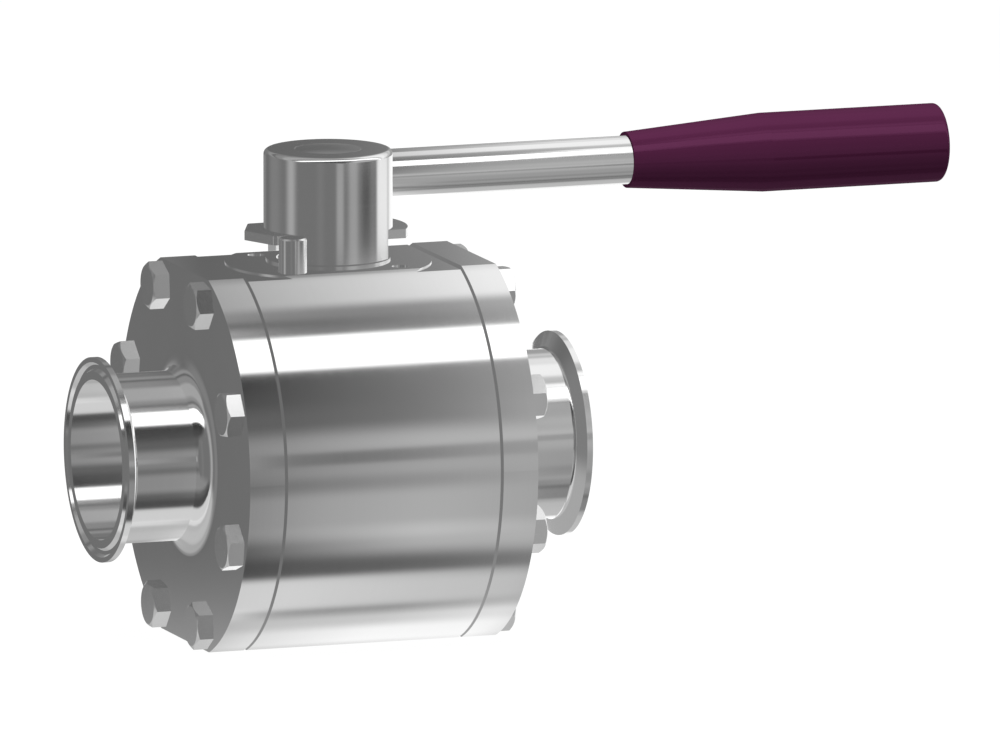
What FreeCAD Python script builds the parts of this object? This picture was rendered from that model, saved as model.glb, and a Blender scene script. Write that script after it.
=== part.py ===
import FreeCAD, Part
import math
import os

from FreeCAD import Vector

# Full-bore three-piece ball valve, DN 50, with clamp ends and a rod lever. All sizes are in millimetres.
# The origin is where the flow axis meets the stem axis. +X runs along the flow, on the side of the lever
# when the valve is open, and +Z runs up the stem.

# Flow path and clamp ends
bore_radius = 25.0
face_to_face = 152.4
tube_wall = 1.5
ferrule_lip = 5.5
ferrule_rim_width = 1.9
ferrule_back_angle = 20.0
ferrule_root_fillet = 1.0
gasket_groove_offset = 4.0
gasket_groove_half_width = 1.4
gasket_groove_depth = 1.3
gasket_groove_floor_half_width = 0.6
neck_root_fillet = 5.2

# Ball and seats
ball_wall = 13.5
ball_slot_depth = 5.3
ball_clearance = 0.3
seat_wall = 5.4
seat_lip = 3.4
seat_split_gap = 0.8
seat_edge = 0.8

# Body, caps and their joint
fit_clearance = 0.1
seal_width = 2.8
seal_thickness = 1.5
spigot_depth = 1.8
joint_gap = 1.0
land_margin = 0.3
cap_thickness = 11.35
bolt_circle_offset = 7.7
bolt_edge_distance = 8.5

# Cap bolts, M8
bolt_count = 8
bolt_radius = 4.0
bolt_hole_clearance = 0.4
bolt_thread_clearance = 0.05
bolt_engagement = 9.7
bolt_hole_spare_depth = 1.5
bolt_head_flats = 13.0
bolt_head_height = 5.3
bolt_head_crown = 0.9
bolt_crown_share = 0.96
left_head_turn = 12.0
right_head_turn = -25.0

# Mounting pad on top of the body
pad_radius = 32.2
pad_rise = 0.8
pad_circle_radius = 25.0
pad_hole_radius = 2.65
pad_hole_depth = 9.0
pad_hole_wall = 3.0
pin_shank_end_gap = 1.0
collar_radius = 19.4
collar_width = 3.2
collar_height = 1.2

# Stem and what seals it
stem_radius = 9.0
stem_clearance = 0.06
shoulder_radius = 12.0
shoulder_thickness = 4.0
shoulder_gap = 0.7
tang_half_thickness = 5.0
tang_half_length = 10.5
tang_clearance = 0.15
tang_end_gap = 0.4
thrust_washer_thickness = 2.0
stem_land = 4.4
o_ring_section_radius = 1.0
o_ring_sides = 8
packing_depth = 9.0
packing_width = 4.0
packing_ring_height = 1.7
packing_ring_gap = 0.06
packing_vee = 0.9
packing_ring_count = 3
gland_rise = 1.3
gland_flange_radius = 15.6
gland_flange_lift = 0.3

# Disc springs, nut and drive of the lever
thread_radius = 8.0
flats_half_width = 6.0
drive_clearance = 0.06
spring_radius = 14.4
spring_thickness = 0.8
spring_cone = 0.4
spring_count = 2
nut_flats = 24.0
nut_thickness = 4.0
nut_crown = 0.8
nut_gap = 0.2

# Stop plate and stop pin
plate_thickness = 2.9
plate_half_width = 13.0
plate_arc_radius = 24.8
plate_shoulder_reach = 22.0
plate_point_reach = 27.5
plate_corner_radius = 1.6
stop_gap = 0.33
stop_pin_stand = 0.1
stop_pin_edge = 0.5
pin_shank_clearance = 0.05

# Lever hub, screw and cap
hub_pin_clearance = 0.55
hub_collar_gap = 0.6
hub_head_height = 24.5
hub_top_edge = 1.6
hub_skirt_wall = 1.9
hub_socket_depth = 7.5
screw_radius = 4.0
screw_head_radius = 6.5
screw_head_height = 7.8
screw_key_flats = 6.0
screw_key_depth = 4.0
screw_length = 22.0
screw_hole_clearance = 0.3
hub_cap_radius = 10.3
hub_cap_thickness = 1.2
hub_cap_dome = 0.5

# Lever rod and grip
rod_radius = 7.6
rod_drop = 8.9
rod_socket_margin = 0.7
rod_end_edge = 0.8
grip_start = 98.2
grip_taper_length = 44.8
grip_body_length = 58.9
grip_start_radius = 8.8
grip_radius = 12.35
grip_end_edge = 1.4
grip_end_wall = 8.0

# Edges that are picked by their place are matched to within this
match_tolerance = 0.001

# Radii that follow, from the bore outwards
neck_radius = bore_radius + tube_wall
ferrule_radius = neck_radius + ferrule_lip
ball_radius = bore_radius + ball_wall
pocket_radius = ball_radius + ball_clearance
seat_radius = ball_radius + seat_wall
cavity_radius = seat_radius + fit_clearance
spigot_radius = cavity_radius + seal_width
counterbore_radius = spigot_radius + fit_clearance
bolt_circle_radius = spigot_radius + bolt_circle_offset
bolt_hole_radius = bolt_radius + bolt_hole_clearance
land_radius = bolt_circle_radius - bolt_hole_radius - land_margin
body_radius = bolt_circle_radius + bolt_edge_distance

# Places along the flow axis that follow, from the ball outwards
pocket_edge_x = math.sqrt(pocket_radius ** 2 - bore_radius ** 2)
spigot_face_x = pocket_edge_x + seat_lip
tapped_depth = bolt_engagement + bolt_hole_spare_depth
pad_hole_offset = pad_circle_radius / math.sqrt(2)
pad_hole_inner_x = pad_hole_offset + pad_hole_radius + pad_hole_wall
centre_half_length = max(spigot_face_x + spigot_depth, pad_hole_inner_x + tapped_depth)
cap_inner_x = centre_half_length + joint_gap
cap_outer_x = cap_inner_x + cap_thickness
face_x = face_to_face / 2
neck_start_x = cap_outer_x + neck_root_fillet
ferrule_corner_x = face_x - ferrule_rim_width - ferrule_lip * math.tan(math.radians(ferrule_back_angle))
ferrule_arc_run = ferrule_root_fillet / math.tan(math.radians(90 + ferrule_back_angle) / 2)
ferrule_start_x = ferrule_corner_x - ferrule_arc_run
counterbore_x = spigot_face_x - seal_thickness

# Heights that follow, from the ball upwards
slot_bottom_z = ball_radius - ball_slot_depth
tang_bottom_z = slot_bottom_z + tang_end_gap
shoulder_bottom_z = ball_radius + shoulder_gap
shoulder_top_z = shoulder_bottom_z + shoulder_thickness
washer_top_z = shoulder_top_z + thrust_washer_thickness
chamber_bottom_z = washer_top_z + stem_land
pad_top_z = chamber_bottom_z + packing_depth
flat_z = pad_top_z
recess_z = pad_top_z - pad_rise
collar_top_z = pad_top_z + collar_height
gland_top_z = pad_top_z + gland_rise
spring_height = spring_thickness + spring_cone
spring_bottom_z = gland_top_z + stem_clearance
nut_bottom_z = spring_bottom_z + spring_count * spring_height
nut_top_z = nut_bottom_z + nut_thickness
plate_bottom_z = nut_top_z + nut_gap
plate_top_z = plate_bottom_z + plate_thickness
hub_bottom_z = collar_top_z + hub_collar_gap
hub_top_z = plate_top_z + hub_head_height
socket_top_z = plate_top_z + hub_socket_depth
stem_top_z = socket_top_z - nut_gap
screw_seat_z = hub_top_z - hub_cap_thickness - screw_head_height
rod_z = hub_top_z - rod_drop

# Sizes of the stem group that follow
stem_bore_radius = stem_radius + stem_clearance
recess_radius = shoulder_radius + fit_clearance
notch_radius = shoulder_radius + seat_split_gap
chamber_radius = stem_radius + packing_width
drive_radius = thread_radius + drive_clearance
stop_pin_radius = pad_hole_offset - plate_half_width - stop_gap
hub_radius = pad_circle_radius - stop_pin_radius - hub_pin_clearance
hub_hollow_radius = hub_radius - hub_skirt_wall
rod_inner_x = hub_cap_radius + rod_socket_margin
grip_knee_x = grip_start + grip_taper_length
grip_end_x = grip_knee_x + grip_body_length
rod_end_x = grip_end_x - grip_end_wall

ORIGIN = Vector(0, 0, 0)
ALONG_FLOW = Vector(1, 0, 0)
UP = Vector(0, 0, 1)
FULL_TURN = 360
HALF_TURN = 180
CORNER_RATIO = 1 / math.sqrt(3)


def flow_point(along, radius):
    """A point of a section that is turned about the flow axis."""
    return Vector(along, 0, radius)


def stem_point(radius, height):
    """A point of a section that is turned about the stem axis."""
    return Vector(radius, 0, height)


def section(steps):
    """A flat face through the points in order; a pair (through, end) is an arc."""
    edges = []
    start = steps[0]
    for step in steps[1:] + [steps[0]]:
        if isinstance(step, tuple):
            through, end = step
            edges.append(Part.Arc(start, through, end).toShape())
        else:
            end = step
            edges.append(Part.LineSegment(start, end).toShape())
        start = end
    return Part.Face(Part.Wire(edges))


def turned(steps, axis):
    """A solid of revolution of the closed section about an axis through the origin."""
    return section(steps).revolve(ORIGIN, axis, FULL_TURN)


def upright_cylinder(radius, bottom, top, x=0.0, y=0.0):
    """A cylinder along Z between two heights."""
    return Part.makeCylinder(radius, top - bottom, Vector(x, y, bottom), UP)


def flow_cylinder(radius, start, end, y=0.0, z=0.0):
    """A cylinder along X between two places."""
    return Part.makeCylinder(radius, end - start, Vector(start, y, z), ALONG_FLOW)


def centred_box(half_x, half_y, bottom, top):
    """A box centred on the stem axis between two heights."""
    corner = Vector(-half_x, -half_y, bottom)
    return Part.makeBox(2 * half_x, 2 * half_y, top - bottom, corner)


def other_end(shape):
    """The same piece on the left end, half a turn about the stem axis away."""
    copy = shape.copy()
    copy.rotate(ORIGIN, UP, HALF_TURN)
    return copy


def bolt_places():
    """Angle about the flow axis, Y and Z of each cap bolt, between the flats and the sides."""
    places = []
    step = FULL_TURN / bolt_count
    for number in range(bolt_count):
        angle = step * (number + 0.5)
        y = bolt_circle_radius * math.cos(math.radians(angle))
        z = bolt_circle_radius * math.sin(math.radians(angle))
        places.append((angle, y, z))
    return places


def pad_hole_places():
    """X and Y of the four holes of the mounting pad."""
    places = []
    for x_side in (-1, 1):
        for y_side in (-1, 1):
            places.append((x_side * pad_hole_offset, y_side * pad_hole_offset))
    return places


def hexagon(across_flats, bottom, top):
    """A hexagonal prism along Z, with two flats facing along Y."""
    corner_radius = across_flats * CORNER_RATIO
    corners = []
    for number in range(7):
        angle = math.radians(FULL_TURN / 6 * number)
        corners.append(Vector(corner_radius * math.cos(angle), corner_radius * math.sin(angle), bottom))
    return Part.Face(Part.makePolygon(corners)).extrude(Vector(0, 0, top - bottom))


def crown(across_flats, bottom, top, drop):
    """The turned shape that rounds off the corners of a hexagon at its top."""
    outer = across_flats * CORNER_RATIO + fit_clearance
    steps = [
        stem_point(0, bottom),
        stem_point(outer, bottom),
        stem_point(outer, top - drop),
        stem_point(across_flats / 2 * bolt_crown_share, top),
        stem_point(0, top),
    ]
    return turned(steps, UP)


def two_flat_bar(radius, half_width, bottom, top):
    """A round bar with two flats, the drive of the stem's top."""
    return upright_cylinder(radius, bottom, top).common(centred_box(radius, half_width, bottom, top))


def body_outline(start, end):
    """The round body with its top and bottom flats, along X between two places."""
    half_length = (end - start) / 2
    slab = centred_box(half_length, body_radius, -flat_z, flat_z)
    slab.translate(Vector(start + half_length, 0, 0))
    return flow_cylinder(body_radius, start, end).common(slab)


def make_body_centre():
    body = body_outline(-centre_half_length, centre_half_length)
    above = centred_box(centre_half_length, body_radius, recess_z, pad_top_z)
    body = body.cut(above.cut(upright_cylinder(pad_radius, recess_z, pad_top_z)))
    collar = upright_cylinder(collar_radius, pad_top_z - pad_rise, collar_top_z)
    body = body.fuse(collar).removeSplitter()
    body = body.cut(upright_cylinder(collar_radius - collar_width, pad_top_z, collar_top_z))
    body = body.cut(flow_cylinder(cavity_radius, -centre_half_length, centre_half_length))
    for start, end in ((counterbore_x, centre_half_length), (-centre_half_length, -counterbore_x)):
        body = body.cut(flow_cylinder(counterbore_radius, start, end))
    body = body.cut(upright_cylinder(recess_radius, 0, washer_top_z))
    body = body.cut(upright_cylinder(stem_bore_radius, 0, collar_top_z))
    body = body.cut(o_ring_groove())
    body = body.cut(upright_cylinder(chamber_radius, chamber_bottom_z, collar_top_z))
    for x, y in pad_hole_places():
        body = body.cut(upright_cylinder(pad_hole_radius, pad_top_z - pad_hole_depth, pad_top_z, x, y))
    tapped_radius = bolt_radius + bolt_thread_clearance
    tapped_bottom_x = centre_half_length - tapped_depth
    for angle, y, z in bolt_places():
        body = body.cut(flow_cylinder(tapped_radius, tapped_bottom_x, centre_half_length, y, z))
        body = body.cut(flow_cylinder(tapped_radius, -centre_half_length, -tapped_bottom_x, y, z))
    return body


def o_ring_groove():
    middle_z = washer_top_z + stem_land / 2
    half_height = o_ring_section_radius + stem_clearance
    groove_radius = stem_bore_radius + 2 * o_ring_section_radius + stem_clearance
    return upright_cylinder(groove_radius, middle_z - half_height, middle_z + half_height)


def make_end_cap():
    """The right end cap: flange with its spigot, and the fillet that leads into the neck."""
    fillet_shift = neck_root_fillet * (1 - math.sqrt(0.5))
    steps = [
        flow_point(spigot_face_x, bore_radius),
        flow_point(spigot_face_x, spigot_radius),
        flow_point(centre_half_length, spigot_radius),
        flow_point(centre_half_length, land_radius),
        flow_point(cap_inner_x, land_radius),
        flow_point(cap_inner_x, body_radius),
        flow_point(cap_outer_x, body_radius),
        flow_point(cap_outer_x, neck_radius + neck_root_fillet),
        (
            flow_point(cap_outer_x + fillet_shift, neck_radius + fillet_shift),
            flow_point(neck_start_x, neck_radius),
        ),
        flow_point(neck_start_x, bore_radius),
    ]
    cap = turned(steps, ALONG_FLOW)
    cap = cap.common(centred_box(neck_start_x, body_radius, -flat_z, flat_z))
    for angle, y, z in bolt_places():
        cap = cap.cut(flow_cylinder(bolt_hole_radius, cap_inner_x, cap_outer_x, y, z))
    return cap


def make_neck():
    """The tube that is welded between the right cap and its clamp ferrule."""
    tube = flow_cylinder(neck_radius, neck_start_x, ferrule_start_x)
    return tube.cut(flow_cylinder(bore_radius, neck_start_x, ferrule_start_x))


def make_clamp_ferrule():
    """The right clamp ferrule: sloped back for the clamp, flat face with the gasket groove."""
    rim_x = face_x - ferrule_rim_width
    groove_radius = bore_radius + gasket_groove_offset
    half_corner = math.radians(90 + ferrule_back_angle) / 2
    back = math.radians(ferrule_back_angle)
    arc_reach = ferrule_root_fillet * (1 / math.sin(half_corner) - 1)
    steps = [
        flow_point(ferrule_start_x, bore_radius),
        flow_point(ferrule_start_x, neck_radius),
        (
            flow_point(
                ferrule_corner_x - arc_reach * math.cos(half_corner),
                neck_radius + arc_reach * math.sin(half_corner),
            ),
            flow_point(
                ferrule_corner_x + ferrule_arc_run * math.sin(back),
                neck_radius + ferrule_arc_run * math.cos(back),
            ),
        ),
        flow_point(rim_x, ferrule_radius),
        flow_point(face_x, ferrule_radius),
        flow_point(face_x, groove_radius + gasket_groove_half_width),
        flow_point(face_x - gasket_groove_depth, groove_radius + gasket_groove_floor_half_width),
        flow_point(face_x - gasket_groove_depth, groove_radius - gasket_groove_floor_half_width),
        flow_point(face_x, groove_radius - gasket_groove_half_width),
        flow_point(face_x, bore_radius),
    ]
    return turned(steps, ALONG_FLOW)


def make_cap_bolts(head_turn):
    """The eight bolts of the right cap, heads on its outer face and tips in the centre body."""
    tip_x = centre_half_length - bolt_engagement
    shank = upright_cylinder(bolt_radius, tip_x - cap_outer_x, 0)
    head = hexagon(bolt_head_flats, 0, bolt_head_height)
    head = head.common(crown(bolt_head_flats, 0, bolt_head_height, bolt_head_crown))
    bolt = shank.fuse(head)
    bolt.rotate(ORIGIN, Vector(0, 1, 0), 90)
    bolts = []
    for angle, y, z in bolt_places():
        copy = bolt.copy()
        copy.rotate(ORIGIN, ALONG_FLOW, angle + head_turn)
        copy.translate(Vector(cap_outer_x, y, z))
        bolts.append(copy)
    return Part.makeCompound(bolts)


def make_body_seal():
    """The flat ring between the right spigot and the counterbore."""
    outer = flow_cylinder(counterbore_radius - fit_clearance, counterbore_x, spigot_face_x)
    return outer.cut(flow_cylinder(cavity_radius + fit_clearance, counterbore_x, spigot_face_x))


def make_seat():
    """The right seat: it fills the cavity round the ball and has a full bore."""
    start_x = seat_split_gap / 2
    pocket_middle = pocket_radius * math.sqrt(0.5)
    steps = [
        flow_point(start_x, seat_radius),
        flow_point(spigot_face_x - seat_edge, seat_radius),
        flow_point(spigot_face_x, seat_radius - seat_edge),
        flow_point(spigot_face_x, bore_radius),
        flow_point(pocket_edge_x, bore_radius),
        (
            flow_point(pocket_middle, pocket_middle),
            flow_point(start_x, math.sqrt(pocket_radius ** 2 - start_x ** 2)),
        ),
    ]
    seat = turned(steps, ALONG_FLOW)
    return seat.cut(upright_cylinder(notch_radius, 0, cavity_radius))


def make_ball():
    ball = Part.makeSphere(ball_radius)
    ball = ball.cut(flow_cylinder(bore_radius, -ball_radius, ball_radius))
    slot = centred_box(tang_half_thickness + tang_clearance, ball_radius, slot_bottom_z, ball_radius)
    return ball.cut(slot)


def make_stem():
    """Tang, shoulder, shank, thread and two-flat top, with the hub screw's threaded hole."""
    tang = centred_box(tang_half_thickness, tang_half_length, tang_bottom_z, shoulder_bottom_z)
    tang = tang.common(upright_cylinder(shoulder_radius, tang_bottom_z, shoulder_bottom_z))
    stem = upright_cylinder(shoulder_radius, shoulder_bottom_z, shoulder_top_z).fuse(tang)
    stem = stem.fuse(upright_cylinder(stem_radius, shoulder_top_z, pad_top_z))
    stem = stem.fuse(upright_cylinder(thread_radius, pad_top_z, nut_top_z))
    stem = stem.fuse(two_flat_bar(thread_radius, flats_half_width, nut_top_z, stem_top_z))
    screw_tip_z = screw_seat_z - screw_length
    hole_bottom_z = screw_tip_z - bolt_hole_spare_depth
    hole = upright_cylinder(screw_radius + bolt_thread_clearance, hole_bottom_z, stem_top_z)
    return stem.removeSplitter().cut(hole)


def make_thrust_washer():
    washer = upright_cylinder(shoulder_radius, shoulder_top_z + stem_clearance, washer_top_z)
    return washer.cut(upright_cylinder(stem_bore_radius, shoulder_top_z, washer_top_z))


def make_stem_o_ring():
    """A ring with a near-round section, seated in its groove."""
    middle_z = washer_top_z + stem_land / 2
    ring_radius = stem_bore_radius + o_ring_section_radius
    steps = []
    for number in range(o_ring_sides):
        angle = math.radians(FULL_TURN / o_ring_sides * number)
        radius = ring_radius + o_ring_section_radius * math.cos(angle)
        steps.append(stem_point(radius, middle_z + o_ring_section_radius * math.sin(angle)))
    return turned(steps, UP)


def make_stem_packing():
    """V rings between a flat-bottomed ring and a flat-topped ring."""
    inner = stem_bore_radius
    outer = chamber_radius - packing_ring_gap
    middle = (inner + outer) / 2
    rings = []
    for number in range(packing_ring_count):
        bottom = chamber_bottom_z + number * packing_ring_height
        top = bottom + packing_ring_height - packing_ring_gap
        steps = [stem_point(inner, bottom)]
        if number > 0:
            steps.append(stem_point(middle, bottom + packing_vee))
        steps.append(stem_point(outer, bottom))
        steps.append(stem_point(outer, top))
        if number < packing_ring_count - 1:
            steps.append(stem_point(middle, top + packing_vee))
        steps.append(stem_point(inner, top))
        rings.append(turned(steps, UP))
    return Part.makeCompound(rings)


def make_gland_ring():
    """The follower on the packing, with a flange just above the pad."""
    bottom = chamber_bottom_z + packing_ring_count * packing_ring_height
    flange_bottom = pad_top_z + gland_flange_lift
    gland = upright_cylinder(chamber_radius - fit_clearance, bottom, flange_bottom)
    gland = gland.fuse(upright_cylinder(gland_flange_radius, flange_bottom, gland_top_z))
    return gland.removeSplitter().cut(upright_cylinder(stem_radius + fit_clearance, bottom, gland_top_z))


def make_disc_springs():
    """Cone washers laid rim to rim between the gland ring and the nut."""
    inner = thread_radius + fit_clearance
    springs = []
    for number in range(spring_count):
        bottom = spring_bottom_z + number * spring_height
        inner_lift = spring_cone if number % 2 else 0
        outer_lift = spring_cone - inner_lift
        steps = [
            stem_point(inner, bottom + inner_lift),
            stem_point(spring_radius, bottom + outer_lift),
            stem_point(spring_radius, bottom + outer_lift + spring_thickness),
            stem_point(inner, bottom + inner_lift + spring_thickness),
        ]
        springs.append(turned(steps, UP))
    return Part.makeCompound(springs)


def make_stem_nut():
    nut = hexagon(nut_flats, nut_bottom_z, nut_top_z)
    nut = nut.common(crown(nut_flats, nut_bottom_z, nut_top_z, nut_crown))
    return nut.cut(upright_cylinder(drive_radius, nut_bottom_z, nut_top_z))


def make_stop_plate():
    """A flat bar: round at the lever's end, pointed at the other, keyed on the stem's flats."""
    arc_x = math.sqrt(plate_arc_radius ** 2 - plate_half_width ** 2)
    steps = [
        Vector(arc_x, -plate_half_width, plate_bottom_z),
        (
            Vector(plate_arc_radius, 0, plate_bottom_z),
            Vector(arc_x, plate_half_width, plate_bottom_z),
        ),
        Vector(-plate_shoulder_reach, plate_half_width, plate_bottom_z),
        Vector(-plate_point_reach, 0, plate_bottom_z),
        Vector(-plate_shoulder_reach, -plate_half_width, plate_bottom_z),
    ]
    plate = section(steps).extrude(Vector(0, 0, plate_thickness))
    shoulders = []
    for edge in plate.Edges:
        centre = edge.CenterOfMass
        box = edge.BoundBox
        upright = abs(box.ZLength - plate_thickness) < match_tolerance and box.XLength < match_tolerance
        if upright and abs(centre.x + plate_shoulder_reach) < match_tolerance:
            shoulders.append(edge)
    plate = plate.makeFillet(plate_corner_radius, shoulders)
    flats = flats_half_width + drive_clearance
    return plate.cut(two_flat_bar(drive_radius, flats, plate_bottom_z, plate_top_z))


def make_stop_pin():
    """A plain pin whose thinner shank sits in one pad hole and whose head stops the plate."""
    top = plate_top_z + stop_pin_stand
    head = upright_cylinder(stop_pin_radius, pad_top_z, top)
    rim = [edge for edge in head.Edges if edge.BoundBox.ZMin > top - match_tolerance]
    head = head.makeChamfer(stop_pin_edge, rim)
    shank_radius = pad_hole_radius - pin_shank_clearance
    shank = upright_cylinder(shank_radius, pad_top_z - pad_hole_depth + pin_shank_end_gap, pad_top_z)
    pin = head.fuse(shank)
    pin.translate(Vector(-pad_hole_offset, -pad_hole_offset, 0))
    return pin


def make_lever_hub():
    """Round head with a slot for the stop plate, a hollow for the nut and a socket for the rod."""
    hub = upright_cylinder(hub_radius, hub_bottom_z, hub_top_z)
    rim = [edge for edge in hub.Edges if edge.BoundBox.ZMin > hub_top_z - match_tolerance]
    hub = hub.makeFillet(hub_top_edge, rim)
    slot_half_width = plate_half_width + drive_clearance
    hub = hub.cut(centred_box(hub_radius, slot_half_width, hub_bottom_z, plate_top_z))
    hub = hub.cut(upright_cylinder(hub_hollow_radius, hub_bottom_z, plate_bottom_z))
    flats = flats_half_width + drive_clearance
    hub = hub.cut(two_flat_bar(drive_radius, flats, plate_top_z, socket_top_z))
    screw_hole_radius = screw_radius + screw_hole_clearance
    hub = hub.cut(upright_cylinder(screw_hole_radius, socket_top_z, screw_seat_z))
    head_hole_radius = screw_head_radius + screw_hole_clearance
    hub = hub.cut(upright_cylinder(head_hole_radius, screw_seat_z, hub_top_z))
    cap_hole_radius = hub_cap_radius + drive_clearance
    hub = hub.cut(upright_cylinder(cap_hole_radius, hub_top_z - hub_cap_thickness, hub_top_z))
    return hub.cut(flow_cylinder(rod_radius + drive_clearance, rod_inner_x, hub_radius, 0, rod_z))


def make_hub_screw():
    """Socket-head screw that draws the hub down on the stem."""
    head_top = screw_seat_z + screw_head_height
    screw = upright_cylinder(screw_radius, screw_seat_z - screw_length, screw_seat_z)
    screw = screw.fuse(upright_cylinder(screw_head_radius, screw_seat_z, head_top))
    return screw.cut(hexagon(screw_key_flats, head_top - screw_key_depth, head_top))


def make_hub_cap():
    """Shallow domed disc that closes the top of the hub."""
    bottom = hub_top_z - hub_cap_thickness
    dome_radius = (hub_cap_radius ** 2 + hub_cap_dome ** 2) / (2 * hub_cap_dome)
    middle = hub_cap_radius / 2
    middle_drop = dome_radius - math.sqrt(dome_radius ** 2 - middle ** 2)
    steps = [
        stem_point(0, bottom),
        stem_point(hub_cap_radius, bottom),
        stem_point(hub_cap_radius, hub_top_z),
        (
            stem_point(middle, hub_top_z + hub_cap_dome - middle_drop),
            stem_point(0, hub_top_z + hub_cap_dome),
        ),
    ]
    return turned(steps, UP)


def make_lever_rod():
    rod = flow_cylinder(rod_radius, rod_inner_x, rod_end_x, 0, rod_z)
    ends = [edge for edge in rod.Edges if edge.BoundBox.XLength < match_tolerance]
    return rod.makeChamfer(rod_end_edge, ends)


def make_lever_grip():
    """Closed sleeve over the rod, tapered towards the hub."""
    edge_shift = grip_end_edge * (1 - math.sqrt(0.5))
    steps = [
        flow_point(grip_start, 0),
        flow_point(grip_start, grip_start_radius),
        flow_point(grip_knee_x, grip_radius),
        flow_point(grip_end_x - grip_end_edge, grip_radius),
        (
            flow_point(grip_end_x - edge_shift, grip_radius - edge_shift),
            flow_point(grip_end_x, grip_radius - grip_end_edge),
        ),
        flow_point(grip_end_x, 0),
    ]
    grip = turned(steps, ALONG_FLOW)
    grip = grip.cut(flow_cylinder(rod_radius + drive_clearance, grip_start, rod_end_x + drive_clearance))
    grip.translate(Vector(0, 0, rod_z))
    return grip


def save(name, shape):
    """Writes one piece, or one group of like pieces, to its own file."""
    shape.exportStep("parts/" + name + ".step")


os.makedirs("parts", exist_ok=True)

end_cap = make_end_cap()
neck = make_neck()
clamp_ferrule = make_clamp_ferrule()
body_seal = make_body_seal()
seat = make_seat()

save("body_centre", make_body_centre())
save("end_cap_right", end_cap)
save("end_cap_left", other_end(end_cap))
save("neck_right", neck)
save("neck_left", other_end(neck))
save("clamp_ferrule_right", clamp_ferrule)
save("clamp_ferrule_left", other_end(clamp_ferrule))
save("cap_bolts_right", make_cap_bolts(right_head_turn))
save("cap_bolts_left", other_end(make_cap_bolts(left_head_turn)))
save("body_seal_right", body_seal)
save("body_seal_left", other_end(body_seal))
save("seat_right", seat)
save("seat_left", other_end(seat))
save("ball", make_ball())
save("stem", make_stem())
save("thrust_washer", make_thrust_washer())
save("stem_o_ring", make_stem_o_ring())
save("stem_packing", make_stem_packing())
save("gland_ring", make_gland_ring())
save("disc_springs", make_disc_springs())
save("stem_nut", make_stem_nut())
save("stop_plate", make_stop_plate())
save("stop_pin", make_stop_pin())
save("lever_hub", make_lever_hub())
save("hub_screw", make_hub_screw())
save("hub_cap", make_hub_cap())
save("lever_rod", make_lever_rod())
save("lever_grip", make_lever_grip())
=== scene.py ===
import math

import bpy
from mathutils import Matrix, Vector


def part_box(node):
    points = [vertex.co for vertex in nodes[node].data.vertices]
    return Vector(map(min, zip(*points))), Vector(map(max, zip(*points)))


# Looks, studio and camera for the full-bore ball valve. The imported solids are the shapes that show, so this
# script gives each of them its finish. All lengths are in metres and all angles in degrees.

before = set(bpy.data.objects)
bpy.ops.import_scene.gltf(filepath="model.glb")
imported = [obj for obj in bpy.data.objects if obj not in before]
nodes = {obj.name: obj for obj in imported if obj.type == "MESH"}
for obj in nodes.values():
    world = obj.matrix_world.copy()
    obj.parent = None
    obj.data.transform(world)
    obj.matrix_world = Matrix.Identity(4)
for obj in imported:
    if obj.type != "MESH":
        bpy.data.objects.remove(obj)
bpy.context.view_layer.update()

# Camera: a long lens, so that upright edges stay parallel. It sees as far as some times its own distance.
view_azimuth = -19.33
view_elevation = 9.64
view_width = 0.3115
view_centre_right = 0.0535
view_centre_up = 0.0234
half_field = 0.85
sensor_width = 36.0
sight_reach = 4.0

# Light on the matt surfaces, which is what the lamp and the world give
ambient_light = 0.216
key_place = Vector((-0.10, -0.42, 1.45))
key_size = 0.9
key_power = 15.0

# Floor
floor_half_size = 6.0
floor_colour = (0.9, 0.9, 0.9, 1)
floor_glow_share = 0.85
floor_glow = 1.14

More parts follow.
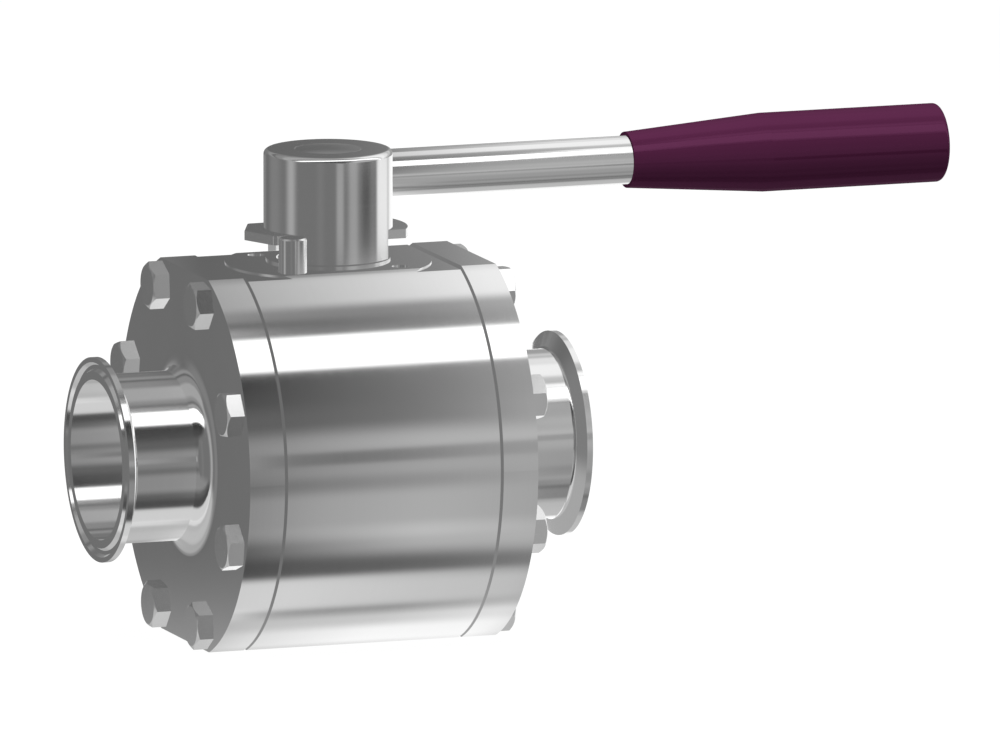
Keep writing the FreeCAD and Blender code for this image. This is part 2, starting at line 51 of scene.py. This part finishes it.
# The light tent is what the metal reflects. Ring panels run along the flow axis, and their angles go round
# it: 0 at the front, 90 overhead, 180 behind and -90 below. Each is (middle, half width, soft edge) and then
# its level at each station from left to right, and the levels add up. Stations are shares of the radius.
tent_radius = 0.36
tent_segments = 96
tent_rings = 48
tent_stations = (0.15, 0.20, 0.30, 0.40, 0.46)
ring_base = (0.08, 0.12, 0.22, 0.42, 0.45)
ring_panels = {
    "soft box": (61, 10, 0.8, 1.5, 1.5, 1.4, 1.3, 1.2),
    "soft box top": (75, 3, 3, 0.35, 0.08, 0.02, -0.03, 0.90),
    "soft box bottom": (53, 2.5, 1.5, 0.0, 0.0, 0.0, 0.0, -0.90),
    "overhead joint": (86, 5, 4, 0.24, 0.16, 0.07, 0.05, 0.20),
    "overhead panel": (103, 12.5, 4, 0.36, 0.42, 0.56, 0.65, 0.64),
    "overhead strip": (124, 8, 4, 0.22, 0.08, 0.04, 0.25, 0.48),
    "back strip": (141, 5, 4, 0.25, 0.16, 0.06, 0.08, 0.25),
    "back wall": (154, 8, 4, 0.13, 0.02, -0.06, -0.16, -0.05),
    "far back": (176, 14, 6, 0.10, 0.02, -0.02, -0.13, -0.07),
    "front joint": (45, 4, 4, -0.03, -0.01, 0.0, 0.0, 0.0),
    "upper front": (25, 6, 6, 0.06, 0.03, 0.0, 0.03, 0.08),
    "front panel": (5, 13, 5, 0.17, 0.22, 0.24, 0.04, 0.04),
    "front strip": (10, 4, 5, 0.06, 0.06, 0.10, 0.12, 0.08),
    "low front panel": (-25, 13, 6, 0.22, 0.30, 0.30, 0.02, -0.06),
    "low front glow": (-42, 7, 5, 0.05, 0.15, 0.32, 0.12, -0.12),
    "low joint": (-60, 7, 4, 0.0, 0.0, -0.08, -0.18, -0.12),
    "near floor": (-75, 12, 3, 0.68, 0.68, 0.47, 0.22, -0.18),
    "floor joint": (-90, 4, 4, 0.30, -0.26, -0.34, -0.32, -0.10),
    "floor": (-140, 53, 4, 0.48, 0.54, 0.50, 0.52, 0.13),
    "middle floor": (-120, 13, 6, 0.04, 0.22, 0.42, 0.20, 0.02),
    "back floor": (-164, 25, 4, -0.10, 0.65, 0.60, 0.50, 0.50),
}

# Wall panels stand upright, and their angles go round the stem axis: 0 at the front and 90 on the right. Each
# is (middle, half width, soft edge, level).
wall_base = 0.20
wall_panels = {
    "back left wall": (-154, 6, 8, -0.03),
    "left back wall": (-128, 14, 10, 0.05),
    "far back strip": (-178, 10, 8, 0.08),
    "left strip": (-87, 8, 7, 0.25),
    "left front strip": (-32, 5, 6, 0.03),
    "front strip": (2, 6, 3, 0.22),
    "front right strip": (26, 8, 5, 0.18),
    "dark strip": (51, 9, 7, -0.11),
    "right wall": (117, 40, 4, 0.80),
    "right wall edge": (132, 18, 5, 0.14),
    "gap in the right wall": (115, 5, 4, -0.34),
}

# The wall panels cover a band of heights, which grows taller on the left. All are shares of the tent's
# radius, apart from the growth, which says how many times its height the band gains.
wall_middle_height = 0.065
wall_half_height = 0.055
wall_edge = 0.012
tall_wall_start = -0.05
tall_wall_end = -0.30
tall_wall_growth = 6.0

# Steels: (grey, roughness, grain features a metre, grain depth)
steel_finishes = {
    "body_steel": (0.80, 0.115, 2600.0, 0.0000008),
    "cap_steel": (0.80, 0.115, 2600.0, 0.0000008),
    "tube_steel": (0.80, 0.12, 3200.0, 0.0000004),
    "bolt_steel": (0.78, 0.22, 900.0, 0.000002),
    "hub_steel": (0.80, 0.12, 3200.0, 0.0000004),
    "rod_steel": (0.80, 0.10, 2600.0, 0.0000005),
    "plate_steel": (0.78, 0.20, 1500.0, 0.000001),
    "inner_steel": (0.74, 0.25, 2200.0, 0.000002),
    "ball_steel": (0.85, 0.08, 4000.0, 0.0000002),
}
grey_spread = 0.03
polish_scale = 45.0
polish_spread = 0.04
grain_spread = 0.03

# The cap is smoother where it leads into the neck, as that is polished with the tube.
root_start_radius = 0.032
root_end_radius = 0.035
root_polish = 0.035

# Plastics and rubber: (colour, roughness, grain features a metre, grain depth)
plastic_finishes = {
    "white_polymer": ((0.76, 0.75, 0.71), 0.42, 700.0, 0.00001),
    "black_rubber": ((0.02, 0.02, 0.02), 0.62, 1600.0, 0.00002),
    "plum_plastic": ((0.096, 0.0162, 0.058), 0.5, 2400.0, 0.000004),
}
cloud_scale = 30.0
cloud_spread = 0.04
moulding_spread = 0.06
grip_gloss_colour = (0.95, 0.30, 0.70, 1)
grip_gloss_share = 0.035
grip_gloss_roughness = 0.1


def place_camera():
    azimuth = math.radians(view_azimuth)
    elevation = math.radians(view_elevation)
    back = Vector((
        math.sin(azimuth) * math.cos(elevation),
        -math.cos(azimuth) * math.cos(elevation),
        math.sin(elevation),
    ))
    right = Vector((math.cos(azimuth), math.sin(azimuth), 0))
    up = back.cross(right)
    data = bpy.data.cameras.new("camera")
    data.sensor_width = sensor_width
    data.lens = sensor_width / 2 / math.tan(math.radians(half_field))
    distance = view_width / 2 / math.tan(math.radians(half_field))
    data.clip_end = distance * sight_reach
    camera = bpy.data.objects.new("camera", data)
    camera.location = right * view_centre_right + up * view_centre_up + back * distance
    camera.rotation_mode = "QUATERNION"
    camera.rotation_quaternion = (-back).to_track_quat("-Z", "Y")
    bpy.context.scene.collection.objects.link(camera)
    bpy.context.scene.camera = camera


def feed(tree, socket, value):
    """Sets a socket to a number or a vector, or links it to another socket."""
    if isinstance(value, bpy.types.NodeSocket):
        tree.links.new(value, socket)
    else:
        socket.default_value = value


def maths(tree, operation, *values):
    """The output of a maths node on sockets and numbers."""
    node = tree.nodes.new("ShaderNodeMath")
    node.operation = operation
    for index, value in enumerate(values):
        feed(tree, node.inputs[index], value)
    return node.outputs[0]


def smooth_step(tree, value, start, end, first=0.0, last=1.0):
    """The output that goes smoothly from first at start to last at end."""
    node = tree.nodes.new("ShaderNodeMapRange")
    node.interpolation_type = "SMOOTHSTEP"
    feed(tree, node.inputs["Value"], value)
    feed(tree, node.inputs["From Min"], start)
    feed(tree, node.inputs["From Max"], end)
    feed(tree, node.inputs["To Min"], first)
    feed(tree, node.inputs["To Max"], last)
    return node.outputs["Result"]


def empty_tree(owner):
    owner.use_nodes = True
    owner.node_tree.nodes.clear()
    return owner.node_tree


def seen_directly(tree):
    """1 for camera, glossy and transmission rays, 0 for the rest."""
    path = tree.nodes.new("ShaderNodeLightPath")
    looks = maths(tree, "ADD", path.outputs["Is Camera Ray"], path.outputs["Is Glossy Ray"])
    return maths(tree, "ADD", looks, path.outputs["Is Transmission Ray"])


def make_floor():
    """A pale floor under the flat of the valve. It shows white and still takes the shadow."""
    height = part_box("body_centre")[0].z
    corners = []
    for x, y in ((-1, -1), (1, -1), (1, 1), (-1, 1)):
        corners.append((x * floor_half_size, y * floor_half_size, height))
    mesh = bpy.data.meshes.new("floor")
    mesh.from_pydata(corners, [], [(0, 1, 2, 3)])
    floor = bpy.data.objects.new("floor", mesh)
    bpy.context.scene.collection.objects.link(floor)
    material = bpy.data.materials.new("floor")
    tree = empty_tree(material)
    output = tree.nodes.new("ShaderNodeOutputMaterial")
    diffuse = tree.nodes.new("ShaderNodeBsdfDiffuse")
    diffuse.inputs["Color"].default_value = floor_colour
    glow = tree.nodes.new("ShaderNodeEmission")
    glow.inputs["Strength"].default_value = floor_glow
    mix = tree.nodes.new("ShaderNodeMixShader")
    feed(tree, mix.inputs[0], maths(tree, "MULTIPLY", seen_directly(tree), floor_glow_share))
    feed(tree, mix.inputs[1], diffuse.outputs[0])
    feed(tree, mix.inputs[2], glow.outputs[0])
    feed(tree, output.inputs["Surface"], mix.outputs[0])
    mesh.materials.append(material)
    floor.visible_glossy = False
    floor.visible_diffuse = False


def panel_share(tree, angle, middle, half_width, edge):
    """1 inside a panel, 0 outside it, and smooth between."""
    distance = maths(tree, "ABSOLUTE", maths(tree, "SUBTRACT", angle, float(middle)))
    return smooth_step(tree, distance, float(half_width + edge), float(half_width - edge))


def ring_level(tree, angle, across):
    """How bright the ring panels are at an angle round the flow axis and a place along it."""
    levels = list(ring_base)
    for middle, half_width, edge, *panel_levels in ring_panels.values():
        share = panel_share(tree, angle, middle, half_width, edge)
        for column, panel_level in enumerate(panel_levels):
            levels[column] = maths(tree, "MULTIPLY_ADD", share, panel_level, levels[column])
    level = levels[0]
    for column in range(1, len(tent_stations)):
        start = tent_stations[column - 1]
        reach = tent_stations[column] - start
        share = maths(tree, "DIVIDE", maths(tree, "SUBTRACT", across, start), reach)
        share.node.use_clamp = True
        rise = maths(tree, "SUBTRACT", levels[column], levels[column - 1])
        level = maths(tree, "MULTIPLY_ADD", rise, share, level)
    return level


def wall_level(tree, angle):
    """How bright the wall panels are at an angle round the stem axis."""
    level = wall_base
    for middle, half_width, edge, panel_level in wall_panels.values():
        share = panel_share(tree, angle, middle, half_width, edge)
        level = maths(tree, "MULTIPLY_ADD", share, panel_level, level)
    return level


def wall_share(tree, across, height):
    """1 in the band of heights that the wall panels cover, 0 outside it, and smooth between."""
    growth = smooth_step(tree, across, tall_wall_start, tall_wall_end, 1.0, 1.0 + tall_wall_growth)
    distance = maths(tree, "ABSOLUTE", maths(tree, "SUBTRACT", height, wall_middle_height))
    reach = maths(tree, "DIVIDE", distance, growth)
    return smooth_step(tree, reach, wall_half_height + wall_edge, wall_half_height - wall_edge)


def tent_level(tree):
    """How bright the tent is at each place on it."""
    split = tree.nodes.new("ShaderNodeSeparateXYZ")
    feed(tree, split.inputs[0], place(tree))
    across = maths(tree, "DIVIDE", split.outputs["X"], tent_radius)
    height = maths(tree, "DIVIDE", split.outputs["Z"], tent_radius)
    forward = maths(tree, "MULTIPLY", split.outputs["Y"], -1.0)
    ring_angle = maths(tree, "DEGREES", maths(tree, "ARCTAN2", split.outputs["Z"], forward))
    wall_angle = maths(tree, "DEGREES", maths(tree, "ARCTAN2", split.outputs["X"], forward))
    rings = ring_level(tree, ring_angle, across)
    rise = maths(tree, "SUBTRACT", wall_level(tree, wall_angle), rings)
    return maths(tree, "MULTIPLY_ADD", rise, wall_share(tree, across, height), rings)


def raise_tent():
    """A round light tent that only reflections see."""
    bpy.ops.mesh.primitive_uv_sphere_add(segments=tent_segments, ring_count=tent_rings, radius=tent_radius)
    tent = bpy.context.object
    tent.name = "light_tent"
    bpy.ops.object.shade_smooth()
    material = bpy.data.materials.new("light_tent")
    tree = empty_tree(material)
    output = tree.nodes.new("ShaderNodeOutputMaterial")
    glow = tree.nodes.new("ShaderNodeEmission")
    feed(tree, glow.inputs["Strength"], tent_level(tree))
    feed(tree, output.inputs["Surface"], glow.outputs[0])
    material.cycles.emission_sampling = "NONE"
    tent.data.materials.append(material)
    tent.visible_camera = False
    tent.visible_diffuse = False
    tent.visible_shadow = False
    tent.visible_transmission = False


def light_the_studio():
    """A world that is white where it shows and soft where it lights, and a lamp overhead."""
    world = bpy.data.worlds.new("studio")
    bpy.context.scene.world = world
    tree = empty_tree(world)
    output = tree.nodes.new("ShaderNodeOutputWorld")
    background = tree.nodes.new("ShaderNodeBackground")
    background.inputs["Color"].default_value = (1, 1, 1, 1)
    shown = maths(tree, "MULTIPLY_ADD", seen_directly(tree), 1.0 - ambient_light, ambient_light)
    feed(tree, background.inputs["Strength"], shown)
    feed(tree, output.inputs["Surface"], background.outputs[0])
    data = bpy.data.lights.new("key", "AREA")
    data.energy = key_power
    data.size = key_size
    lamp = bpy.data.objects.new("key", data)
    lamp.location = key_place
    lamp.rotation_mode = "QUATERNION"
    lamp.rotation_quaternion = (-key_place).to_track_quat("-Z", "Y")
    lamp.visible_glossy = False
    bpy.context.scene.collection.objects.link(lamp)


def new_material(name):
    material = bpy.data.materials.new(name)
    tree = empty_tree(material)
    output = tree.nodes.new("ShaderNodeOutputMaterial")
    shader = tree.nodes.new("ShaderNodeBsdfPrincipled")
    feed(tree, output.inputs["Surface"], shader.outputs["BSDF"])
    return material, tree, shader


def noise(tree, vector, scale):
    """Noise from 0 to 1 at so many features a metre."""
    node = tree.nodes.new("ShaderNodeTexNoise")
    node.inputs["Scale"].default_value = scale
    feed(tree, node.inputs["Vector"], vector)
    return node.outputs["Fac"]


def place(tree):
    """The place on the object, in metres."""
    return tree.nodes.new("ShaderNodeTexCoord").outputs["Object"]


def turning_rings(tree, axis):
    """A vector that only changes along the turning axis and away from it, as a lathe tool moves."""
    split = tree.nodes.new("ShaderNodeSeparateXYZ")
    feed(tree, split.inputs[0], place(tree))
    aside = [name for name in "XYZ" if name != axis]
    squares = [maths(tree, "MULTIPLY", split.outputs[name], split.outputs[name]) for name in aside]
    radius = maths(tree, "SQRT", maths(tree, "ADD", *squares))
    join = tree.nodes.new("ShaderNodeCombineXYZ")
    feed(tree, join.inputs["X"], split.outputs[axis])
    feed(tree, join.inputs["Y"], radius)
    return join.outputs[0]


def flow_rings(tree):
    return turning_rings(tree, "X")


def stem_rings(tree):
    return turning_rings(tree, "Z")


def colour_between(tree, share, first, last):
    mix = tree.nodes.new("ShaderNodeMix")
    mix.data_type = "RGBA"
    feed(tree, mix.inputs["Factor"], share)
    colours = [socket for socket in mix.inputs if socket.type == "RGBA"]
    colours[0].default_value = first + (1,)
    colours[1].default_value = last + (1,)
    return [socket for socket in mix.outputs if socket.type == "RGBA"][0]


def raise_surface(tree, shader, height, depth):
    """Bump by so many metres between the lowest and highest height."""
    bump = tree.nodes.new("ShaderNodeBump")
    bump.inputs["Strength"].default_value = 1.0
    bump.inputs["Distance"].default_value = depth
    feed(tree, bump.inputs["Height"], height)
    feed(tree, shader.inputs["Normal"], bump.outputs[0])


def polished_root(tree):
    """What the polish at the root of the neck takes off the roughness, as a negative number."""
    split = tree.nodes.new("ShaderNodeSeparateXYZ")
    feed(tree, split.inputs[0], flow_rings(tree))
    return smooth_step(tree, split.outputs["Y"], root_start_radius, root_end_radius, -root_polish, 0.0)


def steel(name, grain_vector, polishing=None):
    """Stainless steel with a fine grain, slightly uneven polish and a faint change of tone."""
    grey, roughness, grain_scale, grain_depth = steel_finishes[name]
    material, tree, shader = new_material(name)
    grain = noise(tree, grain_vector(tree), grain_scale)
    polish = noise(tree, place(tree), polish_scale)
    tone = maths(tree, "MULTIPLY", maths(tree, "ADD", grain, polish), 0.5)
    colour = colour_between(tree, tone, (grey - grey_spread,) * 3, (grey + grey_spread,) * 3)
    feed(tree, shader.inputs["Base Color"], colour)
    lowest = roughness - (polish_spread + grain_spread) / 2
    uneven = maths(tree, "MULTIPLY_ADD", polish, polish_spread, lowest)
    if polishing:
        uneven = maths(tree, "ADD", uneven, polishing(tree))
    feed(tree, shader.inputs["Roughness"], maths(tree, "MULTIPLY_ADD", grain, grain_spread, uneven))
    shader.inputs["Metallic"].default_value = 1.0
    raise_surface(tree, shader, grain, grain_depth)
    return material


def plastic(name):
    """Plastic or rubber with a moulded grain and a faint cloudiness in its colour."""
    colour, roughness, grain_scale, grain_depth = plastic_finishes[name]
    material, tree, shader = new_material(name)
    cloud = noise(tree, place(tree), cloud_scale)
    dark = tuple((1 - cloud_spread) * part for part in colour)
    light = tuple((1 + cloud_spread) * part for part in colour)
    feed(tree, shader.inputs["Base Color"], colour_between(tree, cloud, dark, light))
    grain = noise(tree, place(tree), grain_scale)
    lowest = roughness - moulding_spread / 2
    feed(tree, shader.inputs["Roughness"], maths(tree, "MULTIPLY_ADD", grain, moulding_spread, lowest))
    raise_surface(tree, shader, grain, grain_depth)
    return material


def tinted_plastic(name):
    """Plastic whose gloss is near its own colour, so that its edges don't turn grey."""
    material = plastic(name)
    tree = material.node_tree
    shader = tree.nodes["Principled BSDF"]
    shader.inputs["Specular IOR Level"].default_value = 0.0
    gloss = tree.nodes.new("ShaderNodeBsdfPrincipled")
    gloss.inputs["Base Color"].default_value = grip_gloss_colour
    gloss.inputs["Metallic"].default_value = 1.0
    gloss.inputs["Roughness"].default_value = grip_gloss_roughness
    mix = tree.nodes.new("ShaderNodeMixShader")
    mix.inputs[0].default_value = grip_gloss_share
    feed(tree, mix.inputs[1], shader.outputs["BSDF"])
    feed(tree, mix.inputs[2], gloss.outputs["BSDF"])
    feed(tree, tree.nodes["Material Output"].inputs["Surface"], mix.outputs[0])
    return material


def dress(material, *names):
    for name in names:
        slots = nodes[name].data.materials
        slots.clear()
        slots.append(material)


def dress_the_valve():
    dress(steel("body_steel", flow_rings), "body_centre")
    dress(steel("cap_steel", flow_rings, polished_root), "end_cap_left", "end_cap_right")
    tube_steel = steel("tube_steel", flow_rings)
    dress(tube_steel, "neck_left", "neck_right", "clamp_ferrule_left", "clamp_ferrule_right")
    dress(steel("bolt_steel", place), "cap_bolts_left", "cap_bolts_right", "stem_nut", "hub_screw")
    dress(steel("hub_steel", stem_rings), "lever_hub", "hub_cap", "stop_pin")
    dress(steel("rod_steel", flow_rings), "lever_rod")
    dress(steel("plate_steel", place), "stop_plate")
    dress(steel("inner_steel", stem_rings), "stem", "gland_ring", "disc_springs")
    dress(steel("ball_steel", flow_rings), "ball")
    white_polymer = plastic("white_polymer")
    dress(white_polymer, "seat_left", "seat_right", "body_seal_left", "body_seal_right")
    dress(white_polymer, "thrust_washer", "stem_packing")
    dress(plastic("black_rubber"), "stem_o_ring")
    dress(tinted_plastic("plum_plastic"), "lever_grip")


place_camera()
make_floor()
raise_tent()
light_the_studio()
dress_the_valve()

# The pieces don't show in one another, so that the tent alone draws the bands on the steel.
for node in nodes.values():
    node.visible_glossy = False

bpy.context.scene.view_settings.view_transform = "Standard"
